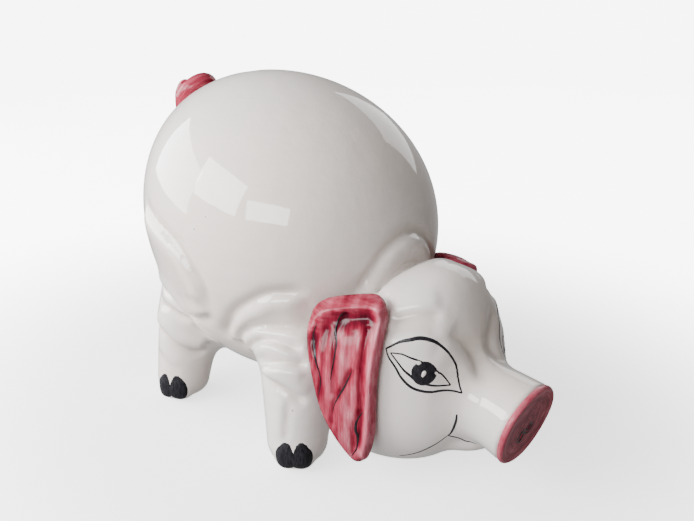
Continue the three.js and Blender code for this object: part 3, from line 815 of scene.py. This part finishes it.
def build_disc():
    """The snout disc: rings out over its dished face, round its rim of 2.6 mm and in across its back.  A
    hand-pressed edge wavers by 0.4 sin(3 b) + 0.3 sin(5 b + 1)."""
    b = np.linspace(0, 2 * np.pi, 96, endpoint=False)
    face = np.linspace(0.03, 1, 30)[:, None] * (DISC_RADIUS - 2.6)
    bend = np.radians(np.linspace(10, 170, 11))[:, None]
    rim_radius = DISC_RADIUS - 2.6 + 2.6 * np.sin(bend)
    radius = np.concatenate([face, rim_radius, vec(DISC_RADIUS - 4, 6)[:, None]])
    waver = 0.4 * np.sin(3 * b) + 0.3 * np.sin(5 * b + 1)
    radius = radius + waver * np.square(radius / DISC_RADIUS)
    y, z = radius * np.cos(b), radius * np.sin(b)
    depth = np.concatenate([disc_height(y[:30], z[:30]), -2.6 * (1 - np.cos(bend)) + 0 * b,
                            np.full((2, len(b)), -DISC_THICKNESS)])
    points = SNOUT_END + np.stack([y, z, depth], -1) @ np.stack([vec(0, 1, 0), SNOUT_RISE, SNOUT_AXIS])
    vertices, faces = shut_grid(points)
    r = np.append(radius.ravel(), [0, 0])
    turn = np.append(np.broadcast_to(b, radius.shape).ravel(), [0, 0])
    uv = np.stack([r / 58, 0.9 * np.abs(turn / np.pi - 1)], -1)
    shade = 0.5 - 0.14 * np.exp(-np.square((r - 12) / 9)) + 0.08 * np.clip((r - 27) / 4, 0, 1)
    disc = new_object("painted_snout_disc", vertices, faces, uv, dict(shade=shade, band=0 * r))
    finished(disc, ROSE, "rose_glaze", "snout_disc")
    swirls = []
    for (y0, z0), flip in zip(NOSTRILS, (1, -1)):
        t = np.linspace(0, 1, 12)
        turn = 3.3 * np.pi * t * flip + 0.6
        swirl = np.stack([y0 + (5.4 - 3.6 * t) * np.cos(turn), z0 + (7.0 - 4.6 * t) * np.sin(turn)], -1)
        knots = SNOUT_END + swirl[:, :1] * vec(0, 1, 0) + swirl[:, 1:] * SNOUT_RISE
        swirls.append(brush_line(knots, 1.5, lay_on_disc, taper=0.4))
    finished(new_object("nostril_swirls", *whole(swirls)), BLACK, "black_paint")


def build_tail():
    """The tail: a rope of clay whose centre goes round a shrinking, rising oval on the rump, from under
    the skin to a rounded tip that crosses over its own start."""
    low, high = box_of("tail_coil")
    slope = np.radians(49)
    ahead, out = vec(np.cos(slope), 0, np.sin(slope)), vec(-np.sin(slope), 0, np.cos(slope))
    middle = vec((low[0] + high[0]) / 2, 0, (low[2] + high[2]) / 2) - out * 3
    t = np.linspace(0, 1, 90)
    turn = np.radians(-150 + 470 * t)
    shrink = 1 - 0.28 * t
    rise = -6 + 9 * np.minimum(t / 0.12, 1) + 9 * t**2
    offsets = np.stack([18 * shrink * np.cos(turn), 14 * shrink * np.sin(turn), rise], -1)
    path = middle + offsets @ np.stack([ahead, vec(0, 1, 0), out])
    tip = np.sqrt(np.clip(1 - np.square(np.clip((t - 0.93) / 0.07, 0, 1)), 0.02, 1))
    radius = (9.2 - 2.0 * t) * tip
    along = unit(np.gradient(path, axis=0))
    side = unit(np.cross(along, out))
    up = np.cross(side, along)
    b = np.linspace(0, 2 * np.pi, 28, endpoint=False)
    ring = np.cos(b)[:, None] * side[:, None] + np.sin(b)[:, None] * up[:, None]
    vertices, faces = shut_grid(path[:, None] + ring * radius[:, None, None])
    around = np.append(np.broadcast_to(b * 9 / 58, (90, 28)).ravel(), [0, 0])
    way = np.append(np.repeat(t * 150 / 125, 28), [0, 1.2])
    # Painted light and shade: the rope is lighter on its side away from the rump and darker where it lies
    # against the rump.
    away_from_rump = np.append(np.broadcast_to(np.sin(b), (90, 28)).ravel(), [0, 0])
    tail = new_object("curled_tail", vertices, faces, np.stack([around, way], -1),
                      dict(shade=0.42 + 0.12 * away_from_rump, band=0 * around))
    finished(tail, ROSE, "rose_glaze", "tail_coil")


# ------------------------------------------------------------------ stopper

STOPPER_LOW, STOPPER_HIGH = box_of("belly_stopper")
STOPPER_MIDDLE = (STOPPER_LOW + STOPPER_HIGH) / 2
LAND_HEIGHT = STOPPER_HIGH[2] - 14 + 0.3
HOLE_RADIUS = 14.3


def build_stopper():
    """The rubber stopper: a turned plug with two sealing ribs, a rounded flange and a rounded grip bar
    below it, and a hollow up its middle."""
    seat = LAND_HEIGHT - 0.3
    bend = np.radians(np.linspace(-90, 90, 7))
    flange = [(18.3 - 1.25 + 1.25 * np.cos(a), seat - 1.25 + 1.25 * np.sin(a)) for a in bend]
    plug = [(14 - 0.35 * (1 - np.cos(2 * np.pi * k / 7)), seat + 0.4 + 12.4 * k / 21) for k in range(22)]
    top = STOPPER_HIGH[2]
    mouth = [(13.4, top), (9.4, top), (9, top - 0.6), (9, seat + 1), (1, seat + 1)]
    profile = [(1, seat - 2.5), (12, seat - 2.5)] + flange + plug + mouth
    centre = vec(STOPPER_MIDDLE[0], 0, 0)
    body = shut_grid(turned(centre, vec(0, 0, 1), vec(1, 0, 0), profile, 64))
    a = np.linspace(0, np.pi, 13)[:, None]
    b = np.linspace(0, 2 * np.pi, 28, endpoint=False)
    square = np.sign(np.cos(b)) * np.abs(np.cos(b))**0.6, np.sign(np.sin(b)) * np.abs(np.sin(b))**0.6
    along = np.clip(-np.cos(a), -1, 1) * 10
    width = np.sqrt(np.maximum(np.sin(a), 0.03))
    height = seat - 4.6 + 2.7 * width**0.5 * square[1]
    grip = np.stack([along + 0 * b, 2 * width * square[0], height], -1) + centre
    stopper = new_object("rubber_stopper", *whole([body, shut_grid(grip)]))
    finished(stopper, RUBBER, "stopper_rubber", "belly_stopper", body="stopper")


# ------------------------------------------------------------------ shader maths

class Wire:
    """One shader socket.  Python's operators on wires add the Math nodes that they stand for."""

    def __init__(self, pot, socket):
        self.pot = pot
        self.socket = socket

    def maths(self, operation, *others):
        """A Math node of this wire and others, wires or plain numbers."""
        values = {i: value for i, value in enumerate((self, *others))}
        return self.pot.node("ShaderNodeMath", dict(operation=operation), values)

    def __add__(self, other):
        return self.maths("ADD", other)

    __radd__ = __add__

    def __mul__(self, other):
        return self.maths("MULTIPLY", other)

    __rmul__ = __mul__

    def __sub__(self, other):
        return self.maths("SUBTRACT", other)

    def __rsub__(self, other):
        return (self * -1) + other

    def clipped(self):
        """The value kept between 0 and 1."""
        return self.pot.node("ShaderNodeClamp", {}, {0: self})


class Finish:
    """A material under way: its node tree and its one Principled shader."""

    def __init__(self, name, colour, **settings):
        self.material = bpy.data.materials.new(name)
        self.material.use_nodes = True
        self.tree = self.material.node_tree
        self.shader = self.tree.nodes["Principled BSDF"]
        self.shader.inputs["Base Color"].default_value = (*colour, 1)
        for socket, value in settings.items():
            self.shader.inputs[socket.replace("_", " ")].default_value = value

    def node(self, kind, settings, inputs, output=0):
        """One node: its type, its settings, then the values or links of its sockets."""
        made = self.tree.nodes.new(kind)
        for key, value in settings.items():
            if key == "stops":
                ramp = made.color_ramp
                while len(ramp.elements) < len(value):
                    ramp.elements.new(0.5)
                for element, (place, shade) in zip(ramp.elements, value):
                    element.position = place
                    element.color = (*shade, 1) if len(shade) == 3 else shade
            else:
                setattr(made, key, value)
        for key, value in inputs.items():
            if isinstance(value, Wire):
                self.tree.links.new(value.socket, made.inputs[key])
            else:
                made.inputs[key].default_value = value
        return Wire(self, made.outputs[output])

    def place(self, scale=(1, 1, 1), source="Object"):
        """Object or UV coordinates, stretched."""
        where = self.node("ShaderNodeTexCoord", {}, {}, source)
        return self.node("ShaderNodeMapping", {}, {"Vector": where, "Scale": scale})

    def noise(self, where, scale, detail=3.0, roughness=0.5):
        """Noise from 0 to 1."""
        inputs = {"Vector": where, "Scale": scale, "Detail": detail, "Roughness": roughness}
        return self.node("ShaderNodeTexNoise", {}, inputs)

    def ramp(self, value, *stops):
        """A colour for each value, from stops of (place, colour)."""
        return self.node("ShaderNodeValToRGB", dict(stops=stops), {0: value})

    def grade(self, value, low, high):
        """Smooth step from 0 at low to 1 at high."""
        inputs = {"Value": value, "From Min": low, "From Max": high}
        return self.node("ShaderNodeMapRange", dict(interpolation_type="SMOOTHSTEP"), inputs)

    def mix(self, share, a, b):
        """Colour a where the share is 0 and b where it is 1."""
        settings = dict(data_type="RGBA")
        a, b = ((*c, 1) if isinstance(c, tuple) and len(c) == 3 else c for c in (a, b))
        return self.node("ShaderNodeMix", settings, {0: share, 6: a, 7: b}, 2)

    def bump(self, height, distance):
        """Links a bump of the height, over a distance in millimetres, to the shader's normal."""
        inputs = {"Height": height, "Distance": distance * MM}
        self.feed("Normal", self.node("ShaderNodeBump", {}, inputs))

    def feed(self, socket, wire):
        """Links a wire to one of the shader's sockets."""
        self.tree.links.new(wire.socket, self.shader.inputs[socket])


def white_glaze():
    """Clear glossy glaze on cream-white slip: warm and cool drifts of colour, faint level bands from the
    brush, creases darkened by pooled glaze and by painted shade, a few pin marks, and the slight
    waviness of the coat."""
    finish = Finish("white_glaze", (0.8, 0.78, 0.75), Roughness=0.5, Specular_IOR_Level=0.15,
                    Coat_Weight=1.0, Coat_Roughness=0.035, Coat_IOR=1.5)
    where = finish.place()
    drift = finish.grade(finish.noise(where, 7, 2), 0.35, 0.65)
    colour = finish.mix(drift, (0.85, 0.755, 0.695), (0.815, 0.765, 0.74))
    cloud = finish.grade(finish.noise(where, 30, 3), 0.3, 0.8)
    bands = finish.grade(finish.noise(finish.place((14, 14, 190)), 1, 4, 0.6), 0.35, 0.75)
    crease = finish.node("ShaderNodeAttribute", dict(attribute_name="crease"), {}, "Fac")
    colour = finish.mix(bands * 0.22, colour, (0.72, 0.66, 0.60))
    # painted shade: the glaze goes half way to a brown where the crease value is high, for glaze pooled in
    # the creases and for the shade that falls in them
    colour = finish.mix(crease * 0.5, colour, (0.55, 0.46, 0.40))
    colour = finish.mix(cloud * 0.25, colour, (0.76, 0.69, 0.63))
    spots = {"Vector": where, "Scale": 60, "Randomness": 1}
    pins = finish.node("ShaderNodeTexVoronoi", {}, spots, "Distance")
    pin = 1 - finish.grade(pins, 0.03, 0.055)
    rare = finish.grade(finish.noise(where, 11, 1), 0.55, 0.6)
    colour = finish.mix(pin * rare * 0.8, colour, (0.05, 0.04, 0.035))
    finish.feed("Base Color", colour)
    finish.bump(finish.noise(where, 70, 4, 0.5), 0.7)
    return finish.material


def rose_glaze():
    """Rose and maroon brush work under clear glaze.  Each piece gives a shade value for how thinly the paint
    lies, with painted shade added in the ear's pocket and grooves and painted light and shade on the
    tail, and streaks of the brush run along V, or along U on the ear's top roll."""
    finish = Finish("rose_brushwork", (0.5, 0.1, 0.14), Roughness=0.5, Specular_IOR_Level=0.0,
                    Coat_Weight=0.4, Coat_Roughness=0.16, Coat_IOR=1.5)
    # shade: each piece's paint tone, which also carries painted shade on the ears and painted light and
    # shade on the tail
    shade = finish.node("ShaderNodeAttribute", dict(attribute_name="shade"), {}, "Fac")
    band = finish.node("ShaderNodeAttribute", dict(attribute_name="band"), {}, "Fac")
    down = finish.noise(finish.place((18, 3.2, 1), "UV"), 1, 6, 0.7)
    over = finish.noise(finish.place((2.4, 34, 1), "UV"), 1, 6, 0.66)
    broad = finish.noise(finish.place((6, 5, 1), "UV"), 1, 3, 0.5)
    streaks = down + band * (over - down)
    value = (shade + (streaks - 0.5) + (broad - 0.5) * 0.8).clipped()
    colour = finish.ramp(value, (0.05, (0.06, 0.001, 0.008)), (0.28, (0.2, 0.008, 0.025)),
                         (0.5, (0.37, 0.05, 0.08)), (0.7, (0.5, 0.13, 0.17)), (0.95, (0.72, 0.36, 0.39)))
    finish.feed("Base Color", colour)
    finish.bump(streaks, 0.09)
    return finish.material


def black_brush():
    """Thick black pottery paint with brush streaks, under the glaze."""
    finish = Finish("black_brushwork", (0.006, 0.006, 0.008), Roughness=0.5, Specular_IOR_Level=0.1,
                    Coat_Weight=0.4, Coat_Roughness=0.08)
    streaks = finish.noise(finish.place((900, 900, 160)), 1, 4, 0.6)
    colour = finish.ramp(streaks, (0.35, (0.003, 0.003, 0.005)), (0.75, (0.03, 0.028, 0.034)))
    finish.feed("Base Color", colour)
    return finish.material


def stopper_rubber():
    """Matt dark rubber with a fine moulded grain."""
    finish = Finish("stopper_rubber", (0.03, 0.027, 0.025), Roughness=0.62)
    grain = finish.noise(finish.place(), 900, 2)
    finish.feed("Roughness", finish.grade(grain, 0.2, 0.9) * 0.25 + 0.5)
    finish.bump(grain, 0.08)
    return finish.material


# ------------------------------------------------------------------ assembly

GLAZE = white_glaze()
ROSE = rose_glaze()
BLACK = black_brush()
RUBBER = stopper_rubber()


def finished(piece, material, slot, *nodes, body="pig"):
    """Gives a piece its material, sets it on its body and lets it stand for model nodes; its slot is not
    used.
    """
    piece.data.materials.append(material)
    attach(piece, body)
    if nodes:
        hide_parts(*nodes)


finished(build_body(), GLAZE, "white_glaze", "torso_casting", "head_casting", "leg_front_right",
         "leg_front_left", "leg_hind_right", "leg_hind_left")
build_ears()
build_disc()
build_tail()
build_stopper()
finished(new_object("face_lines", *both_sides(face_lines())), BLACK, "black_paint")
finished(new_object("irises", *both_sides(iris_spots())), BLACK, "black_paint")
finished(new_object("eye_glints", *both_sides(eye_glints())), GLAZE, "white_glaze")
finished(new_object("painted_hooves", *both_sides(hoof_spots())), BLACK, "black_paint")


# ------------------------------------------------------------------ studio

def studio_floor():
    """A wide pale paper bowl round the pig: level out to 2.4 m, then a quarter circle of 1.2 m, then
    straight up, turned about the vertical.  The paper glows like a light table; round the pig its glow
    is dimmed to a quarter, a painted shadow."""
    bend = np.radians(np.linspace(0, 90, 15))
    radius = np.concatenate([np.linspace(5, 2400, 12), 2400 + 1200 * np.sin(bend[1:]), [3600]])
    height = np.concatenate([np.zeros(12), 1200 * (1 - np.cos(bend[1:])), [4200]])
    ring = turned(vec(0, 0, 0), vec(0, 0, 1), vec(1, 0, 0), list(zip(radius, height)), 72)
    middle = ring[0].mean(0)
    faces = grid_faces(len(radius), 72, wrap_columns=True).tolist()
    faces += [[c, (c + 1) % 72, len(radius) * 72] for c in range(72)]
    sheet = new_object("studio_paper", np.vstack([ring.reshape(-1, 3), middle]), faces)
    paper = Finish("studio_paper", (0.8, 0.8, 0.8), Roughness=0.9, Emission_Strength=7.0)
    where = paper.place((1 / 0.42, 1 / 0.36, 0.2))
    away = paper.node("ShaderNodeVectorMath", dict(operation="LENGTH"), {0: where}, "Value")
    # Painted shadow: the glow's colour falls from white to a quarter grey towards the pig.
    paper.feed("Emission Color", paper.mix(paper.grade(away, 0.5, 1.6), (0.26, 0.26, 0.26), (1, 1, 1)))
    sheet.data.materials.append(paper.material)
    sheet.visible_glossy = False
    sheet.visible_diffuse = False
    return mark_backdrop(sheet)


def aimed(name, kind, place, aim):
    """A lamp or a camera at a place, facing the aim."""
    thing = bpy.data.objects.new(name, kind)
    thing.location = place * MM
    thing.rotation_mode = "QUATERNION"
    thing.rotation_quaternion = Vector(aim - place).to_track_quat("-Z", "Y")
    bpy.context.collection.objects.link(thing)
    return thing


def soft_light(name, place, aim, size, watts):
    """A rectangular lamp at a place, facing the aim."""
    lamp = bpy.data.lights.new(name, "AREA")
    lamp.shape = "RECTANGLE"
    lamp.size, lamp.size_y = (side * MM for side in size)
    lamp.energy = watts
    aimed(name, lamp, vec(*place), vec(*aim))


def studio_camera():
    """The view: from the pig's right front, a little above it."""
    lens = bpy.data.cameras.new("camera")
    lens.sensor_width = 36
    lens.lens = 42.4
    lens.clip_end = 50
    bpy.context.scene.camera = aimed("camera", lens, vec(445.8, -469.6, 366.6), vec(12.5, 0, 134))


def room_light():
    """The room's even light, which grows dimmer and warmer towards the side the
    snout points to."""
    world = bpy.data.worlds.new("studio")
    world.use_nodes = True
    room = world.node_tree
    facing = room.nodes.new("ShaderNodeVectorMath")
    facing.operation = "DOT_PRODUCT"
    facing.inputs[1].default_value = (0.86, 0.36, 0.36)
    shade = room.nodes.new("ShaderNodeValToRGB")
    shade.color_ramp.elements[0].color = (1, 1, 1, 1)
    shade.color_ramp.elements[1].color = (0.34, 0.31, 0.29, 1)
    shade.color_ramp.elements[1].position = 0.75
    room.links.new(room.nodes.new("ShaderNodeTexCoord").outputs["Generated"], facing.inputs[0])
    room.links.new(facing.outputs["Value"], shade.inputs[0])
    room.links.new(shade.outputs["Color"], room.nodes["Background"].inputs["Color"])
    room.nodes["Background"].inputs["Strength"].default_value = 0.5
    bpy.context.scene.world = world


studio_floor()
soft_light("left_window", (-1350, -600, 560), (-60, -40, 130), (1150, 700), 35)
soft_light("middle_window", (-640, -1280, 860), (-60, -60, 130), (1000, 620), 41)
soft_light("right_window", (400, -1420, 760), (0, -40, 110), (900, 360), 19)
soft_light("far_fill", (-300, 1800, 900), (0, 0, 120), (1200, 900), 9)
room_light()
studio_camera()
